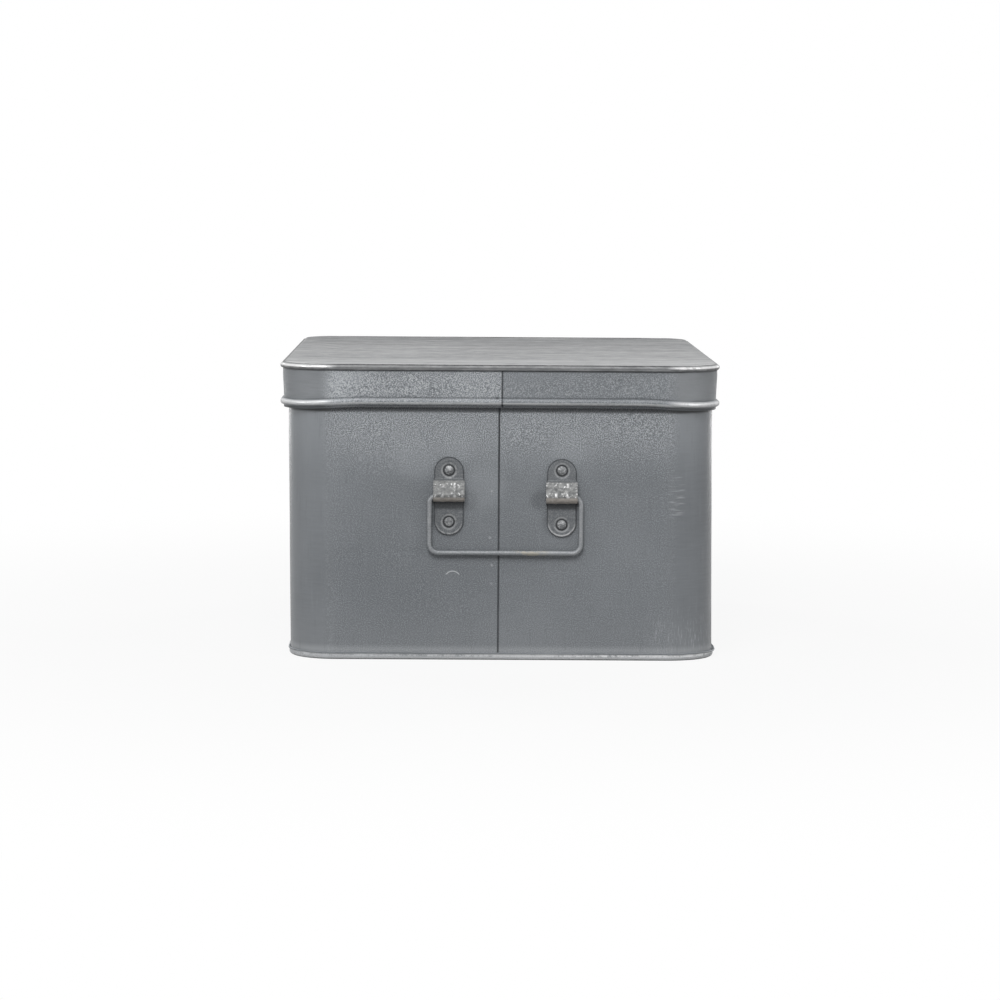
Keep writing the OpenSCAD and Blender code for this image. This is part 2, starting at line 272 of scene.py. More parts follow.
def grey(level, blue=0.0):
    """A linear colour from a grey level of 0 to 255 on a screen, with a little more blue."""
    def linear(value):
        value = value / 255
        return value / 12.92 if value < 0.04045 else ((value + 0.055) / 1.055) ** 2.4
    return (linear(level - blue), linear(level), linear(level + blue), 1)


class Steel(Finish):
    """Steel under a brushed grey wash. Its layers are added one by one, and done() ends it."""

    def __init__(self, name, dark, light, streak=(1, 1, 12), brushed=0.4):
        super().__init__(bpy.data.materials.new(name))
        place = self.node("TexCoord", {}, {}, "Object")
        split = self.node("SeparateXYZ", {}, {0: place}).socket.node
        self.x, self.y, self.z = (Signal(self, output) for output in split.outputs)
        self.clouds = self.noise(10, 3)
        self.streaks = self.noise(70, 4, streak, 0.65)
        self.pebbles = self.noise(1400, 1.5)
        self.flecks = self.noise(330, 3, roughness=0.6)
        self.wash = (self.clouds * (1 - brushed) + self.streaks * brushed).ramp(0.36, 0.64)
        self.paint = self.mix(self.wash, dark, light)
        self.rough = 0.52 - self.wash * 0.06
        self.metal = 0.12
        self.height = self.pebbles
        self.gloss = 0.5
        self.coat = 0.0

    def across(self):
        """Distance to the right of the middle, as seen by someone facing the nearer end."""
        return self.x * self.y.sign() * -1

    def corner(self):
        """1 on the upright corners, 0 along the straight sides."""
        return abs(self.x).ramp(0.11, 0.124) * abs(self.y).ramp(0.16, 0.174)

    def ends(self):
        """1 on the two ends, 0 on the long sides."""
        return abs(self.y).ramp(0.166, 0.186)

    def flat(self):
        """0 on the upright corners, where the bent sheet is smooth, and 1 elsewhere."""
        return 1 - self.corner()

    def out(self):
        """How far out a place stands from the nearest corner's centre or the line between two."""
        beyond_x = (abs(self.x) - turn_x).larger(0.0)
        beyond_y = (abs(self.y) - turn_y).larger(0.0)
        place = self.node("CombineXYZ", {}, {0: beyond_x, 1: beyond_y})
        return self.node("VectorMath", {"operation": "LENGTH"}, {0: place}, "Value")

    def layer(self, amount, colour):
        """More of another colour where amount is higher."""
        self.paint = self.mix(amount, self.paint, colour)

    def speckle(self, amount, light, dark=grey(70, 3)):
        """Lighter tops and darker pits on the pebbled grain: partly the wash caught on the tops,
        partly painted light on the tops and painted shade in the pits.
        """
        self.layer(self.pebbles.ramp(0.48, 0.66) * amount, light)
        self.layer(self.pebbles.ramp(0.5, 0.34) * amount * 0.8, dark)

    def rub_and_highlight(self, amount, colour):
        """Wash rubbed off down to smooth bare metal; also used to paint highlights on bends and
        corners.
        """
        self.layer(amount, colour)
        self.rough = self.rough - amount * 0.14
        self.metal = amount * 0.35 + self.metal

    def away(self, x, z):
        """Distance on an end, in metres, from a place given in millimetres."""
        here = self.node("CombineXYZ", {}, {0: self.across(), 2: self.z})
        place = {0: here, 1: (x * mm, 0, z * mm)}
        return self.node("VectorMath", {"operation": "DISTANCE"}, place, "Value")

    def spot(self, x, z, reach):
        """1 at a place on the ends, in millimetres as seen from in front, and 0 from reach on."""
        return self.away(x, z).ramp(reach * mm, reach * 0.4 * mm)

    def level(self, z, reach):
        """1 at a height, in millimetres, and 0 from reach on above and below it."""
        return abs(self.z - z * mm).ramp(reach * mm, reach * 0.3 * mm)

    def seam(self, x):
        """1 on the upright line of a lap on the ends, at a place in millimetres."""
        line = abs(self.across() - x * mm).ramp(0.9 * mm, 0.25 * mm)
        return line * abs(self.y).ramp(0.19, 0.194)

    def done(self, grain=1.0):
        """Ends the material, with more or less of the pebbled grain as bump."""
        sockets = {
            "Base Color": self.paint, "Metallic": self.metal, "Roughness": self.rough,
            "Specular IOR Level": self.gloss, "Coat Weight": self.coat, "Coat Roughness": 0.2,
        }
        return self.surface(sockets, self.height, 0.6, 0.13 * grain * mm)


def lean(sheet):
    """Sets both long sides over to the right near the table, as the bent sheet has settled."""
    push(
        sheet, "lean", lambda x, y, z: rise(90, 144, abs(x)) * max(0, 1 - z / 170) ** 1.4, 1.6, "X"
    )


pan_profile = [
    *spaced((0, 0), (30.65, 0), 6), *arc((30.65, 2.2), 2.2, -90, 0, 6),
    (32.85, 2.8), (32.85, 3.4), (33.05, 3.9), (33.25, 4.45), (33.45, 5.0),
]
pan = begin("pressed_base_pan")
draw(at_front(0, pan_profile))
full_ring()
plate(0)
close_up()
waver(
    pan, "lip",
    lambda x, y, z: 0.3 * rise(2.6, 4.6, z) + 0.7 * rise(3, 4.8, z) * rise(70, 120, abs(x)), 7, 1.3,
)
waver(pan, "edge", lambda x, y, z: rise(3.2, 5, z), 22, 0.9, "Z")
push(pan, "flare", lambda x, y, z: rise(2.5, 5, z) * rise(136, 146, x) * rise(-120, -160, y), 1.2)
lean(pan)
thicken(pan)
smooth(pan)

pan_steel = Steel("pan_steel", grey(156, 3), grey(178, 3))
pan_steel.speckle(0.35, grey(196, 2))
# Rubbed bright along the lip, more so towards the right of each end.
to_right = pan_steel.across().ramp(-0.12, 0.14) * pan_steel.ends()
lip = pan_steel.level(3.3, 1.2) * (to_right * 0.6 + 0.35)
worn = (pan_steel.clouds * 0.4 + pan_steel.flecks * 0.6).ramp(0.34, 0.54)
pan_steel.rub_and_highlight(lip * worn, grey(240, 1))
pan_steel.rub_and_highlight(pan_steel.level(1.5, 1.0) * 0.5, grey(220, 1))
pan_steel.layer(pan_steel.z.ramp(3.9 * mm, 4.5 * mm) * 0.75, grey(122, 4))
# Painted shade: darker along the very foot of the pan, where it stands on the floor.
pan_steel.layer(pan_steel.level(0.2, 0.5) * 0.5, grey(80, 2))
pan.data.materials.append(pan_steel.done(0.8))
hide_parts("base_pan")
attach(pan, "trunk_body")


# ---- Body walls ----
# Two half shells of thin steel sheet, bent round the corners and lapped at the middle of each
# end: each shell's rear edge steps in behind the other. The top edge is curled round a wire.

shell_z = 1.879
rim = (29.95, 198.45)
curl_r = 2.05
curl_turn = 284
body_seam = -1.5
seam_step = 1.0
seam_gap = 0.4
lap_w = 8.0
lap_in = 0.85
tongue_top = 196.35

wall_profile = [
    *spaced((32, shell_z), (32, tongue_top), 4.5), *arc(rim, curl_r, 0, curl_turn, 20)
]


def half_turned(sheet, name):
    """A copy of a sheet with its own mesh, turned half round for the other side."""
    twin = sheet.copy()
    twin.data = sheet.data.copy()
    twin.name = twin.data.name = name
    bpy.context.collection.objects.link(twin)
    bpy.ops.object.select_all(action="DESELECT")
    twin.select_set(True)
    bpy.context.view_layer.objects.active = twin
    bpy.ops.object.mode_set(mode="EDIT")
    bpy.ops.mesh.select_all(action="SELECT")
    bpy.ops.transform.rotate(value=math.pi, orient_axis="Z", center_override=(0, 0, 0))
    bpy.ops.object.mode_set(mode="OBJECT")
    return twin


def delete_faces(sheet, where):
    """Deletes the faces whose centre, in millimetres, passes a test."""
    bpy.ops.object.mode_set(mode="EDIT")
    bpy.ops.mesh.select_mode(type="FACE")
    bpy.ops.mesh.select_all(action="DESELECT")
    bpy.ops.object.mode_set(mode="OBJECT")
    for face in sheet.data.polygons:
        face.select = where(*(face.center / mm))
    bpy.ops.object.mode_set(mode="EDIT")
    bpy.ops.mesh.delete(type="FACE")
    bpy.ops.object.mode_set(mode="OBJECT")


rear_edge = -body_seam - seam_gap - seam_step
left_shell = begin("bent_wall_left")
draw(at_front(body_seam * mm, wall_profile))
half_ring(body_seam * mm, rear_edge * mm)
run((seam_step * mm, -lap_in * mm, 0), 1)
run(((seam_gap + lap_w) * mm, 0, 0), 4)
close_up()
delete_faces(left_shell, lambda x, y, z: x > rear_edge and y > 0 and z > tongue_top)
right_shell = half_turned(left_shell, "bent_wall_right")

wall_steel = Steel("wall_steel", grey(106, 4), grey(118, 4), brushed=0.25)
across = wall_steel.across()
upright = wall_steel.noise(34, 4, (14, 14, 1), 0.7)
patches = wall_steel.noise(24, 3)
# Painted light: the walls are lighter towards the top, under the lights above, and towards the
# foot, in the floor's light.
upper = wall_steel.z.ramp(0.118, 0.166) * (patches * 0.5 + 0.6)
wall_steel.layer(upper * 0.7, grey(142, 4))
wall_steel.layer(wall_steel.z.ramp(0.05, 0.004) * 0.35, grey(136, 3))
wall_steel.layer(wall_steel.z.ramp(0.011, 0.0065) * 0.6, grey(160, 3))
# Painted shadows of the loops beside and below the straps, and painted patches of light round them.
for x, z, reach in ((-21, 109.5, 9), (27, 109, 9), (-37, 98, 15), (40, 97, 15)):
    wall_steel.layer(wall_steel.spot(x, z, reach) * 0.5, grey(76, 4))
for x, z, reach in ((-58, 138, 20), (46, 144, 16), (-30, 146, 16), (-12, 118, 20)):
    wall_steel.layer(wall_steel.spot(x, z, reach) * 0.3, grey(150, 4))
wall_steel.layer(upright.ramp(0.55, 0.75) * 0.25, grey(136, 4))
wall_steel.layer(upright.ramp(0.45, 0.25) * 0.3, grey(96, 4))
scratched = wall_steel.noise(200, 3, (6, 6, 1), 0.7).ramp(0.5, 0.64)
wall_steel.layer(scratched * wall_steel.spot(-84, 150, 32) * 0.4, grey(172, 3))
wall_steel.speckle((upper * 0.7 + 0.26) * wall_steel.flat(), grey(180, 3))
# A little glossier where the sheet is bent round.
wall_steel.coat = abs(wall_steel.x).ramp(0.104, 0.122) * abs(wall_steel.y).ramp(0.13, 0.158)
welds = (
    (-5.5, 138, 1.3), (-6.1, 115.6, 1.2), (-7, 83.9, 1.3), (-5.6, 65.1, 1.2), (-5.9, 52.2, 1.3),
    (-4.7, 28.9, 1.4),
)
for x, z, reach in welds:
    weld = wall_steel.spot(x, z, reach) * wall_steel.flecks.ramp(0.4, 0.6)
    wall_steel.layer(weld * 0.6, grey(168, 2))
nick = abs(wall_steel.away(-32.2, 55.4) - 5.4 * mm).ramp(0.5 * mm, 0.15 * mm)
nick = nick * wall_steel.z.ramp(0.0578, 0.0592) * wall_steel.y.ramp(0.05, -0.05)
wall_steel.layer(nick * 0.85, grey(186, 2))
scuffs = wall_steel.noise(55, 2, (1, 1, 16), 0.6).ramp(0.52, 0.68) * wall_steel.ends()
scuffs = scuffs * abs(across - 0.1195).ramp(0.0075, 0.002)
scuffs = scuffs * abs(wall_steel.z - 0.113).ramp(0.02, 0.008)
wall_steel.layer(scuffs * 0.45, grey(176, 2))
brushed = wall_steel.noise(160, 3, (8, 8, 1), 0.7).ramp(0.52, 0.7)
brushed = brushed * across.ramp(0.085, 0.11) * wall_steel.z.ramp(0.045, 0.012) * wall_steel.ends()
wall_steel.layer(brushed * 0.6, grey(168, 3))
# Painted shadow: the dark line under the lid's lower edge, deeper at the corners, only on the
# walls' outside.
under_lid_shadow = wall_steel.level(170.6, 2.6) * wall_steel.out().ramp(31.2 * mm, 31.6 * mm)
wall_steel.layer(under_lid_shadow * (wall_steel.corner() * 0.25 + 0.72), grey(34, 3))
# Painted shade along the lap's step at the seam, a little darker higher up.
crease_shade = wall_steel.seam(body_seam + 0.25) * (wall_steel.z.ramp(0.08, 0.165) * 0.25 + 0.65)
wall_steel.layer(crease_shade, grey(46, 3))
wall_steel.height = wall_steel.height * (upper * 0.7 + 0.4)
wall_finish = wall_steel.done()


def sag(x, y, z):
    """How freely the wall's sheet may waver: not at its edges, its corners or the handles."""
    handle = rise(58, 74, abs(x)) if 80 < z < 142 else 1
    return rise(10, 45, z) * rise(190, 150, z) * (handle if abs(y) > 190 else 1)


for shell, node in ((left_shell, "body_left_shell"), (right_shell, "body_right_shell")):
    waver(shell, "sag", sag, 60, 0.7)
    lean(shell)
    thicken(shell)
    smooth(shell)
    shell.data.materials.append(wall_finish)
    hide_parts(node)
    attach(shell, "trunk_body")


# ---- Rim wire ----
# A drawn steel wire inside the curled top edge of the walls, which keeps it stiff and blunt.
# It shows only as a line inside the curl when the lid is off.

wire_steel = Steel("wire_steel", grey(122, 2), grey(140, 2))
wire_steel.speckle(0.3, grey(176, 1))
rim_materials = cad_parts["rim_wire"].data.materials
rim_materials.clear()
rim_materials.append(wire_steel.done(0.4))


# ---- Strap brackets ----
# Short steel straps, bent up into a half-round loop over each pivot end of the bail and riveted
# flat to the wall above and below it. The loops are hammered round the wire and rubbed bright,
# with painted highlights along their bends.

body_l = 390
handle_x = 3.3
bracket_x = 38.25
strap_t = 1.2
strap_w = 20
loop_w = 21.2
strap_low = 85.6
strap_top = 138.7
loop_base = 108.45
nose = (2.45, 112.65)
loop_r = 4.2
upper_rivet_z = 129.7
lower_rivet_z = 94.6
rib_x = 4.0  # two ribs are hammered up along each loop
strap_drop = 1.0  # the right strap and its lower rivet sit this much lower than the left ones
rivet_drop = 1.6


def cut_round(degrees):
    """How far a row across a strap's round end lies from its tip."""
    return strap_w / 2 * (1 - math.sin(math.radians(degrees)))


# The strap's outer face in a side view, from the round end of the lower tab to the upper one.
strap_side = [
    *[(strap_t, strap_low + cut_round(a)) for a in range(82, -1, -9)],
    *spaced((strap_t, strap_low + strap_w / 2), (strap_t, loop_base - 0.9), 0.75),
    *arc((strap_t + 0.9, loop_base - 0.9), 0.9, 180, 90, 4),
    *arc(nose, loop_r, -90, 18, 16),
    *spaced((6.44, 113.96), (4.54, 119.78), 0.8),
    *arc((3.4, 119.4), strap_t, 18, 39.7, 3),
    *spaced((4.32, 120.17), (1.75, 123.27), 0.8),
    *arc((3.1, 124.4), 1.9, 219.7, 180, 4),
    *spaced((strap_t, 124.6), (strap_t, strap_top - strap_w / 2), 0.75),
    *[(strap_t, strap_top - cut_round(a)) for a in range(1, 83, 9)],
]


def half_wide(height):
    """Half of the strap's width at a height: round ends, plain tabs and a slightly spread loop."""
    end = max(strap_low + strap_w / 2 - height, height - strap_top + strap_w / 2, 0)
    spread = rise(loop_base - 2, loop_base, height) * rise(125.5, 123, height)
    return math.sqrt((strap_w / 2) ** 2 - end ** 2) + (loop_w - strap_w) / 2 * spread


def strap_x(side):
    """Where a strap's middle lies to the right of the middle of its end."""
    return handle_x + side * bracket_x


def lower_by(side):
    """How much lower a strap sits than the left one."""
    return strap_drop if side > 0 else 0


def proud(y):
    """How far a place on the front end stands out from the wall, in millimetres."""
    return -y - body_l / 2


def strap(name, side):
    """One strap on the front end: rows across it are extruded up its side view and sized."""
    out, height = strap_side[0]
    half = half_wide(height)
    bracket = begin(name)
    draw([(half * (i / 23 - 1) * mm, -(body_l / 2 + out) * mm, height * mm) for i in range(47)])
    for further, higher in strap_side[1:]:
        if math.dist((out, height), (further, higher)) < 0.02:  # an arc ends where a line starts
            continue
        step = (0, (out - further) * mm, (higher - height) * mm)
        bpy.ops.mesh.extrude_region_move(TRANSFORM_OT_translate={"value": step})
        wider = half_wide(higher) / half
        bpy.ops.transform.resize(value=(wider, 1, 1), center_override=(0, 0, 0))
        out, height, half = further, higher, half * wider
    bpy.ops.mesh.select_all(action="SELECT")
    bpy.ops.transform.translate(value=(strap_x(side) * mm, 0, -lower_by(side) * mm))
    bpy.ops.object.mode_set(mode="OBJECT")
    return bracket


def rivet_places(side):
    """Where a strap's two rivets stand: to the right of the middle, and the height."""
    lower = lower_rivet_z - (rivet_drop if side > 0 else 0)
    return [(strap_x(side), upper_rivet_z), (strap_x(side), lower)]


def past_strap(steel, side):
    """How far a place on an end lies past a strap's outline, in metres, and less than 0 on it."""
    middle = (strap_low + strap_top) / 2 - lower_by(side)
    above = abs(steel.z - middle * mm) - (strap_top - strap_low - strap_w) / 2 * mm
    aside = steel.across() - strap_x(side) * mm
    place = steel.node("CombineXYZ", {}, {0: aside, 2: above.larger(0.0)})
    away = steel.node("VectorMath", {"operation": "LENGTH"}, {0: place}, "Value")
    return away - strap_w / 2 * mm


def soften(sheet, width):
    """Rounds a piece's sharp edges over a width in millimetres."""
    sharp = math.radians(60)
    use(sheet, "BEVEL", width=width * mm, segments=2, limit_method="ANGLE", angle_limit=sharp)


strap_steel = Steel("strap_steel", grey(92, 3), grey(112, 3))
stands = abs(strap_steel.y) - body_l / 2 * mm
loop = stands.ramp(1.6 * mm, 2.6 * mm)
tab = 1 - loop
strap_steel.speckle(0.25, grey(160, 1))
for side in (-1, 1):
    for x, z in rivet_places(side):
        # Painted shade in a ring round each rivet head, and a lighter ring beyond it.
        rivet_ring_shade = abs(strap_steel.away(x, z) - 3.6 * mm).ramp(0.7 * mm, 0.3 * mm)
        bright = abs(strap_steel.away(x, z) - 4.9 * mm).ramp(0.8 * mm, 0.2 * mm)
        strap_steel.layer(rivet_ring_shade * 0.85, grey(30, 2))
        strap_steel.layer(bright * strap_steel.flecks.ramp(0.3, 0.55) * 0.6, grey(160, 1))
    end = strap_low + strap_w / 2 - lower_by(side)
    # Painted shade round the tabs' outline, standing in for the strap's shadow on the wall.
    edge_shade = abs(past_strap(strap_steel, side)).ramp(0.9 * mm, 0.4 * mm) * tab
    strap_steel.layer(edge_shade * 0.8, grey(44, 3))
    edge = abs(strap_steel.away(strap_x(side), end) - 9.1 * mm)
    edge = edge.ramp(0.7 * mm, 0.3 * mm) * strap_steel.flecks.ramp(0.3, 0.55)
    edge = edge * strap_steel.z.ramp(0.096, 0.088)
    strap_steel.rub_and_highlight(edge * (0.75 if side > 0 else 0.4), grey(196, 1))
beaten = strap_steel.noise(380, 2, (1, 1, 1.4)).ramp(0.38, 0.64)
beaten = strap_steel.mix(beaten, (0.115, 0.118, 0.118, 1), (0.195, 0.197, 0.193, 1))
strap_steel.layer(loop * 0.85, beaten)
# Painted light: the underside of each loop is coloured lighter to offset its shade.
strap_steel.layer(loop * strap_steel.z.ramp(0.1122, 0.1105) * 0.9, (0.36, 0.33, 0.3, 1))
# Painted shadow of each loop on the tab below it.
loop_shadow = tab * strap_steel.z.ramp(0.1018, 0.1045) * strap_steel.z.ramp(0.115, 0.112)
strap_steel.layer(loop_shadow * 0.7, grey(34, 3))
# Painted shade in the crease where each loop's slope leaves the upper tab.
crease_shade = stands.ramp(1.22 * mm, 1.4 * mm) * stands.ramp(2.6 * mm, 1.8 * mm)
strap_steel.layer(crease_shade * strap_steel.z.ramp(0.115, 0.118) * 0.7, grey(46, 3))
# Painted highlights along each loop's two bends, strongest on the ribs, mixed with specks rubbed
# bright all over the loop.
ribs = abs(abs(abs(strap_steel.across() - handle_x * mm) - bracket_x * mm) - rib_x * mm)
ribs = ribs.ramp(1.6 * mm, 0.4 * mm) * strap_steel.noise(300, 2).ramp(0.4, 0.6)
bend_highlight_rows = strap_steel.level(119.8, 2.2).larger(strap_steel.level(113.0, 2.4))
specks = strap_steel.noise(620, 2).ramp(0.57, 0.64) * (bend_highlight_rows * 0.75 + 0.25)
strap_steel.rub_and_highlight((ribs * bend_highlight_rows).larger(specks) * loop * 0.8, (0.52, 0.52, 0.52, 1))
strap_steel.gloss = 0.4
strap_finish = strap_steel.done(0.7)

for side, at in ((-1, "left"), (1, "right")):
    drop = lower_by(side)
    bracket = strap("riveted_strap_" + at, side)
    waver(
        bracket, "hammered", lambda x, y, z: rise(1.6, 3, proud(y)) * rise(107.5, 112, z + drop),
        3.4, 0.9, inwards=0.4,
    )
    push(
        bracket, "ribs",
        lambda x, y, z: rise(1.7, 0.3, abs(abs(x - strap_x(side)) - rib_x)) * rise(1.4, 3, proud(y))
        * (0.6 + 0.4 * math.cos(0.85 * (z + drop - 113))), 0.55,
    )
    thicken(bracket, strap_t * mm)
    for i, (x, z) in enumerate(rivet_places(side)):
        push(
            bracket, f"dish_{i}",
            lambda a, b, c: rise(5.8, 5.0, math.dist((a, c), (x, z))) * rise(0.5, 1, proud(b)),
            0.3, "Y",
        )
    soften(bracket, 0.22)
    smooth(bracket)
    bracket.data.materials.append(strap_finish)
    for piece, node in (
        (bracket, f"front_{at}_bracket"),
        (half_turned(bracket, f"rear_strap_{at}"), f"rear_{at}_bracket"),
    ):
        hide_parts(node)
        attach(piece, "trunk_body")


# ---- Rivets ----
# Soft steel rivets through strap and wall. Their heads are hammered down in place, so each is
# uneven, and painted shade lies dark in the ring round it. Inside, the shank is closed to a flat
# tail.

head_ball = arc((0, -3.88), 6.08, 90, 58.3, 9)
tail = [(1.6, -0.8), (2.8, -0.8), (2.8, -1.15), (2.5, -1.5), (1.8, -1.75), (0.9, -1.87), (0, -1.9)]
rivet_side = [*head_ball, (3.2, 1.3), (3.2, 0.9), (1.6, 0.9), *tail]

rivet_steel = Steel("rivet_steel", grey(100, 2), grey(124, 2))
rivet_steel.speckle(0.5, grey(176, 1))
head = abs(rivet_steel.y) - body_l / 2 * mm
crown = head.ramp(1.3 * mm, 1.6 * mm) * rivet_steel.flecks.ramp(0.5, 0.6)
rivet_steel.rub_and_highlight(crown * 0.5, grey(196, 1))
# Painted shade round the foot of the head, where it meets the strap.
rivet_steel.layer(head.ramp(1.55 * mm, 1.25 * mm) * head.ramp(0, 0.3 * mm) * 0.85, grey(34, 2))
rivet_finish = rivet_steel.done(0.7)

for side, at in ((-1, "left"), (1, "right")):
    for (x, z), level in zip(rivet_places(side), ("upper", "lower")):
        rivet = begin(f"hammered_rivet_{at}_{level}")
        draw([((x + r) * mm, -(body_l / 2 + out) * mm, z * mm) for r, out in rivet_side])
        turn((x * mm, 0, z * mm), 360, 32, (0, 1, 0))
        close_up()
        waver(rivet, "blows", lambda x, y, z: rise(1.3, 1.6, proud(y)), 1.5, 1.1)
        smooth(rivet, 50)
        rivet.data.materials.append(rivet_finish)
        for piece, node in (
            (rivet, f"front_{at}_{level}_rivet"),
            (half_turned(rivet, f"rear_rivet_{at}_{level}"), f"rear_{at}_{level}_rivet"),
        ):
            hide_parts(node)
            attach(piece, "trunk_body")


# ---- Bail handles ----
# A drop handle at each end: one length of round wire, bent square by hand, with its ends turned
# inwards into the loops of the brackets, where they turn freely. One shoulder is bent slacker.

bail_r = 1.75
pivot_z = 111.6
pivot_out = 2.45
pivot_l = 18
leg_x = 51.4
bar_drop = 38.1
bar_bend = 6


class Wire:
    """Carries a selected ring along a route on a front view. Heading 0 is right and 90 is up."""

    def __init__(self, x, z, heading):
        self.place, self.heading = Vector((x, 0, z)), heading

    def way(self, degrees):
        """One step in a direction."""
        angle = math.radians(degrees)
        return Vector((math.cos(angle), 0, math.sin(angle)))

    def ahead(self, length, steps):
        """A straight length of wire."""
        run(self.way(self.heading) * length * mm, steps)
        self.place += self.way(self.heading) * length

    def bend(self, radius, degrees, steps):
        """A bend to the left of the way ahead."""
        centre = self.place + self.way(self.heading + 90) * radius
        turn(centre * mm, degrees, steps, (0, 1, 0))
        self.heading += degrees
        self.place = centre - self.way(self.heading + 90) * radius


# From the tip of the left pivot end out to the leg, down, along the bar, up and back inwards.
tip_x = handle_x - leg_x + pivot_l
bail = begin("bent_wire_bail_front")
bpy.ops.mesh.delete(type="VERT")
bpy.ops.mesh.primitive_circle_add(
    vertices=24, radius=bail_r * mm, rotation=(0, math.pi / 2, 0),
    location=(tip_x * mm, -(body_l / 2 + pivot_out) * mm, pivot_z * mm),
)
wire = Wire(tip_x, pivot_z, 179.6)
wire.ahead(14.74, 6)
wire.bend(2.4, 55.4, 9)
wire.ahead(1.0, 1)
wire.bend(4, 35, 7)
wire.ahead(wire.place.z - (pivot_z - bar_drop + bar_bend), 12)
wire.bend(bar_bend, 90, 14)
wire.ahead(2 * (leg_x - bar_bend), 40)
wire.bend(bar_bend, 90, 14)
wire.ahead(pivot_z - 5.36 - wire.place.z, 12)
wire.bend(5, 35, 7)
wire.ahead(2, 2)
wire.bend(2.6, 56.5, 9)
wire.ahead(13.75, 6)
bpy.ops.mesh.select_all(action="SELECT")
bpy.ops.mesh.fill_holes(sides=0)
close_up()
soften(bail, 0.35)
waver(bail, "hand_bent", lambda x, y, z: rise(104, 96, z), 30, 0.7)
smooth(bail)

bail_steel = Steel("bail_steel", grey(122, 3), grey(142, 3))
bail_steel.speckle(0.3, grey(170, 2))
bail_steel.gloss = 0.3
front_line = abs(bail_steel.y) - (body_l / 2 + pivot_out) * mm
# Painted shade along the wire's edges, as seen from in front.
bail_steel.layer(front_line.ramp(1.1 * mm, 0.4 * mm) * 0.5, grey(70, 3))
# Painted highlight along the wire's front, stronger up the legs than on the bar, mixed with rubbed
# wear.
rubs_and_sheen = bail_steel.noise(120, 3, (1, 1, 1), 0.6).ramp(0.4, 0.66) * 0.2 + 0.1
rubs_and_sheen = rubs_and_sheen * front_line.ramp(1.25 * mm, 1.6 * mm)
bail_steel.rub_and_highlight(rubs_and_sheen * (bail_steel.z.ramp(0.077, 0.084) * 0.6 + 0.4), grey(180, 1))
worn = bail_steel.spot(20, 75.6, 15) * bail_steel.noise(300, 2, (0.5, 1, 1)).ramp(0.45, 0.6)
bail_steel.layer(worn * 0.6, (0.36, 0.33, 0.26, 1))
bail.data.materials.append(bail_steel.done(0.4))
for piece, end in ((bail, "front"), (half_turned(bail, "bent_wire_bail_rear"), "rear")):
    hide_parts(end + "_bail")
    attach(piece, end + "_bail")


# ---- Lid bands ----
# The lid's side: two half bands of steel sheet with a swaged bead near the lower edge, lapped
# at the middle of each end as the walls are. The bands widen a little towards the top.

lid_z = 172.4
band_top = 199.85
band_out = 35.65
taper = 0.85
lid_set = -0.4  # how far the lid sits to one side
lid_seam = 0.8
bead_z = 176.4
bead_r = 2.1
bead_proud = 2.45
droop = 2.1  # the lower edge hangs this much lower at the corners and along the long sides


def band_x(z):
    """How far out the band's face stands at height z."""
    return band_out - taper * (band_top - z) / (band_top - lid_z)


bead_x = band_x(bead_z) + bead_proud - bead_r
bead_meets = math.degrees(math.acos((band_x(bead_z) - bead_x) / bead_r))
band_profile = [
    *spaced((band_x(lid_z), lid_z), (band_x(174), 174), 0.8),
    *arc((bead_x, bead_z), bead_r, -bead_meets, bead_meets, 16),
    *spaced((band_x(178.7), 178.7), (band_out, band_top), 2.2),
]
band_rear = -lid_seam - seam_gap - seam_step
left_band = begin("swaged_band_left")
draw(at_front(lid_seam * mm, band_profile))
half_ring(lid_seam * mm, band_rear * mm)
run((seam_step * mm, -lap_in * mm, 0), 1)
run(((seam_gap + lap_w) * mm, 0, 0), 4)
close_up()
right_band = half_turned(left_band, "swaged_band_right")


def band_finish(name, dark, light, bent, grain):
    """One half band's wash, from dark to light and at the corners, and how much grain shows."""
    steel = Steel(name, dark, light)
    to_left = (steel.across() - lid_set * mm).ramp(-0.08, -0.116)
    steel.layer(to_left * steel.flat() * steel.ends() * 0.6, grey(182, 4))
    steel.layer(steel.corner() * 0.5, bent)
    steel.speckle(steel.flat() * grain * 0.65, grey(196, 2))
    # Painted shadow under the lid top's rolled edge.
    steel.layer(steel.level(197.3, 1.3) * 0.6, grey(60, 3))
    steel.z = steel.z + abs(steel.x).ramp(0.092, 0.142) * droop * mm
    # Painted shade in the crease above the bead, on the straight parts.
    steel.layer(steel.level(178.9, 0.8) * steel.flat() * 0.35, grey(74, 3))
    # Painted shade on the lower lip, under the bead.
    steel.layer(steel.level(172.9, 1.5) * 0.7, grey(44, 3))
    # On the corners the bead's crown is rubbed bare, with a painted highlight where the corners
    # face the side lights.
    crown = steel.level(bead_z + 0.2, 2.2)
    worn = (steel.clouds * 0.4 + steel.flecks * 0.6).ramp(0.36, 0.56)
    steel.rub_and_highlight(crown * steel.corner() * (worn * 0.4 + 0.55), grey(214, 1))
    # Painted shade on the bead's upper half and painted light on its lower half, on the straight
    # parts.
    steel.layer(steel.level(bead_z + 1.2, 1.3) * steel.flat() * 0.45, grey(96, 3))
    steel.layer(steel.level(bead_z - 1.4, 1.2) * (worn * 0.3 + 0.5) * steel.flat(), grey(214, 1))
    steel.coat = steel.corner() * 0.15
    steel.gloss = 0.35
    # Painted shade along the lap's step at the seam.
    steel.layer(steel.seam(lid_set + lid_seam + 0.2) * 0.72, grey(56, 3))
    steel.layer(steel.spot(-2.7, 178.9, 1.5) * 0.7, grey(70, 3))
    return steel.done(grain + 0.35)


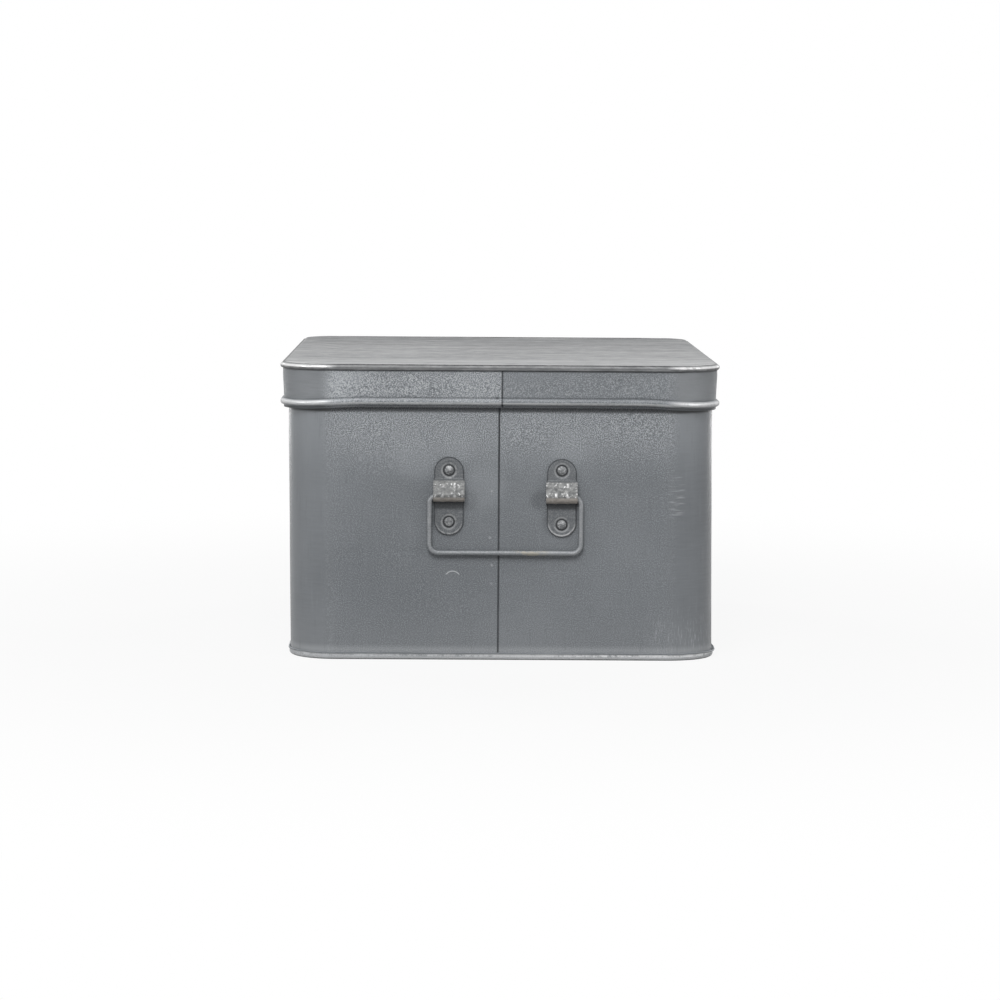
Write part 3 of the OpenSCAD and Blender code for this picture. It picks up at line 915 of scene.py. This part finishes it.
left_finish = band_finish("left_band_steel", grey(132, 4), grey(152, 4), grey(112, 2), 1.1)
right_finish = band_finish("right_band_steel", grey(116, 4), grey(130, 4), grey(146, 2), 0.55)
for band, node, finish in (
    (left_band, "lid_left_band", left_finish), (right_band, "lid_right_band", right_finish)
):
    waver(band, "lumps", lambda x, y, z: rise(band_top - 2, band_top - 8, z), 16, 0.7)
    push(band, "droop", lambda x, y, z: rise(92, 142, abs(x)) * rise(198, 180, z), -droop, "Z")
    thicken(band)
    band.data.transform(Matrix.Translation((lid_set * mm, 0, 0)))
    smooth(band)
    band.data.materials.append(finish)
    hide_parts(node)
    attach(band, "lid")


# ---- Lid top ----
# A flat panel of steel sheet, raised a little inside its edge, which is rolled down over the
# upper edge of the bands. The wash is brushed across it in long streaks.

trunk_h = 201.6
roll = (35.35, 198.85)
roll_r = 1.85
top_profile = [
    *spaced((0, trunk_h), (33.85, trunk_h), 5),
    *arc((33.85, trunk_h - 0.9), 0.9, 90, 0, 5),
    *arc(roll, roll_r, 90, -79, 14),
]
lid_top = begin("rolled_lid_top")
draw(at_front(0, top_profile))
full_ring()
plate(trunk_h * mm)
close_up()
waver(lid_top, "lumps", lambda x, y, z: rise(200.6, 199.4, z) * rise(60, 110, abs(x)), 9, 0.8)
dent = (131.5, -194.5, 199)
push(lid_top, "dent", lambda x, y, z: rise(3, 1, math.dist((x, y, z), dent)), -0.6)
waver(
    lid_top, "sag", lambda x, y, z: rise(201.3, trunk_h, z) * rise(140, 110, abs(x)),
    120, 1.2, "Z", 1,
)
thicken(lid_top)
lid_top.data.transform(Matrix.Translation((lid_set * mm, 0, 0)))
smooth(lid_top)

top_steel = Steel("top_steel", grey(110, 1), grey(134, 1), (1.2, 5, 5), 0.75)
top_steel.gloss = 0.25
edge = top_steel.out().ramp(33.2 * mm, 33.7 * mm)
panel = 1 - edge
broad = top_steel.noise(14, 3, (0.4, 3, 1), 0.6)
top_steel.layer(broad.ramp(0.54, 0.34) * panel * 0.35, grey(104, 2))
# Painted shade towards the back of the panel and painted light towards the front.
top_steel.layer(top_steel.y.ramp(-0.02, 0.19) * panel * 0.95, grey(76, 2))
top_steel.layer(top_steel.y.ramp(-0.06, -0.19) * panel * 0.35, grey(176, 1))
lines = top_steel.noise(32, 5, (0.22, 3.2, 1), 0.7)
top_steel.layer(lines.ramp(0.48, 0.68) * 0.5, grey(170))
top_steel.layer(lines.ramp(0.5, 0.3) * panel * 0.6, grey(78, 2))
hairs = top_steel.noise(150, 4, (0.5, 1.0, 1), 0.75)
top_steel.layer(hairs.ramp(0.48, 0.68) * 0.3, grey(180))
top_steel.layer(hairs.ramp(0.5, 0.34) * 0.3, grey(78, 2))
# Painted highlight: a thin bright line along the top of the rise at both ends.
top_steel.layer(edge * top_steel.z.ramp(0.20105, 0.2014) * top_steel.ends() * 0.6, grey(225))
worn = (top_steel.clouds * 0.4 + top_steel.flecks * 0.6).ramp(0.38, 0.56)
flat = top_steel.flat()
# Painted shade and painted reflections: dark and light lines round the rolled edge, from the foot
# of the rise down to its lip.
for z, reach, amount, tone in (
    (200.95, 0.5, 0.9, 34), (199.9, 0.5, 0.3, 110), (199.2, 0.7, 0.6, 84), (198.0, 0.4, 0.35, 180),
):
    line = top_steel.level(z, reach) * edge * flat * amount
    top_steel.layer(line * (worn * 0.3 + 0.7), grey(tone, 2))
# Painted shade under the rolled edge.
top_steel.layer(top_steel.z.ramp(0.1979, 0.1972) * 0.6, grey(62, 3))
# On the corners the roll is rubbed bare, with a painted highlight where they face the side lights.
top_steel.rub_and_highlight(top_steel.level(199.7, 1.1) * top_steel.corner() * (worn * 0.5 + 0.45), grey(228))
lid_top.data.materials.append(top_steel.done(0.6))
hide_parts("lid_panel")
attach(lid_top, "lid")


# ---- Studio ----
# A pale paper floor in an even white room, with broad soft lights in front and above, small ones
# at the sides and two behind for the far end. Away from the trunk the floor shows as white.

bpy.ops.object.select_all(action="DESELECT")
bpy.ops.mesh.primitive_plane_add(size=12)
floor = bpy.context.object
floor.name = floor.data.name = "floor"
paper = Finish(bpy.data.materials.new("white_paper"))
rays = paper.node("LightPath", {}, {}).socket.node.outputs
seen = Signal(paper, rays["Is Camera Ray"])
place = paper.places((1, 0.8, 1))
spread = paper.node("VectorMath", {"operation": "LENGTH"}, {0: place}, "Value")
matt = paper.node("BsdfDiffuse", {}, {"Color": (0.42, 0.42, 0.42, 1)})
glow = paper.node("Emission", {}, {"Color": (1, 1, 1, 1), "Strength": 1.0})
white = seen * (spread.ramp(0.22, 0.75) * 0.09 + 0.91)
shown = paper.node("MixShader", {}, {0: white, 1: matt, 2: glow})
paper.node("OutputMaterial", {}, {"Surface": shown})
floor.data.materials.append(paper.holder)


def lamp(name, place, towards, size, watts, mirrored=True):
    """A soft square light. The steel shows its mirror image only if it is mirrored."""
    light = bpy.data.lights.new(name, "AREA")
    light.shape = "SQUARE"
    light.size = size
    light.energy = watts
    stand = bpy.data.objects.new(name, light)
    stand.location = place
    stand.visible_glossy = mirrored
    stand.rotation_euler = (Vector(towards) - Vector(place)).to_track_quat("-Z", "Y").to_euler()
    bpy.context.collection.objects.link(stand)


lamp("soft_front", (-0.3, -1.75, 1.65), (0, -0.1, 0.1), 1.1, 37)
lamp("soft_top", (0, -0.6, 2.1), (0, 0, 0.2), 0.8, 11)
lamp("soft_left", (-1.75, -0.75, 0.75), (0, -0.1, 0.12), 0.4, 6)
lamp("soft_right", (1.65, -0.95, 0.75), (0, -0.1, 0.12), 0.4, 6)
lamp("soft_rear_left", (-1.5, 2.1, 0.7), (0, 0.1, 0.12), 0.9, 56, False)
lamp("soft_rear_right", (1.5, 2.1, 0.7), (0, 0.1, 0.12), 0.9, 48, False)

world = bpy.data.worlds.new("white_room")
bpy.context.scene.world = world
room = Finish(world)
rays = room.node("LightPath", {}, {}).socket.node.outputs
direct = Signal(room, rays["Is Camera Ray"]).larger(Signal(room, rays["Is Glossy Ray"]))
lit = room.node("Background", {}, {"Color": (1, 1, 1, 1), "Strength": 0.12})
white = room.node("Background", {}, {"Color": (1, 1, 1, 1), "Strength": 1.0})
shown = room.node("MixShader", {}, {0: direct, 1: lit, 2: white})
room.node("OutputWorld", {}, {"Surface": shown})


# ---- Camera ----
# A long lens in front of the end wall, a little to the left of the middle and above the lid.

camera_at = (-0.0261, -2.539, 0.3319)
camera_pan, camera_tilt, camera_roll = math.radians(-0.63), math.radians(84.58), math.radians(0.4)

lens = bpy.data.cameras.new("camera")
lens.lens = 125.06
lens.sensor_width = 36
camera = bpy.data.objects.new("camera", lens)
bpy.context.collection.objects.link(camera)
camera.matrix_world = (
    Matrix.Translation(camera_at)
    @ Matrix.Rotation(camera_pan, 4, "Z")
    @ Matrix.Rotation(camera_tilt, 4, "X")
    @ Matrix.Rotation(camera_roll, 4, "Z")
)
bpy.context.scene.camera = camera
bpy.context.scene.view_settings.view_transform = "Standard"
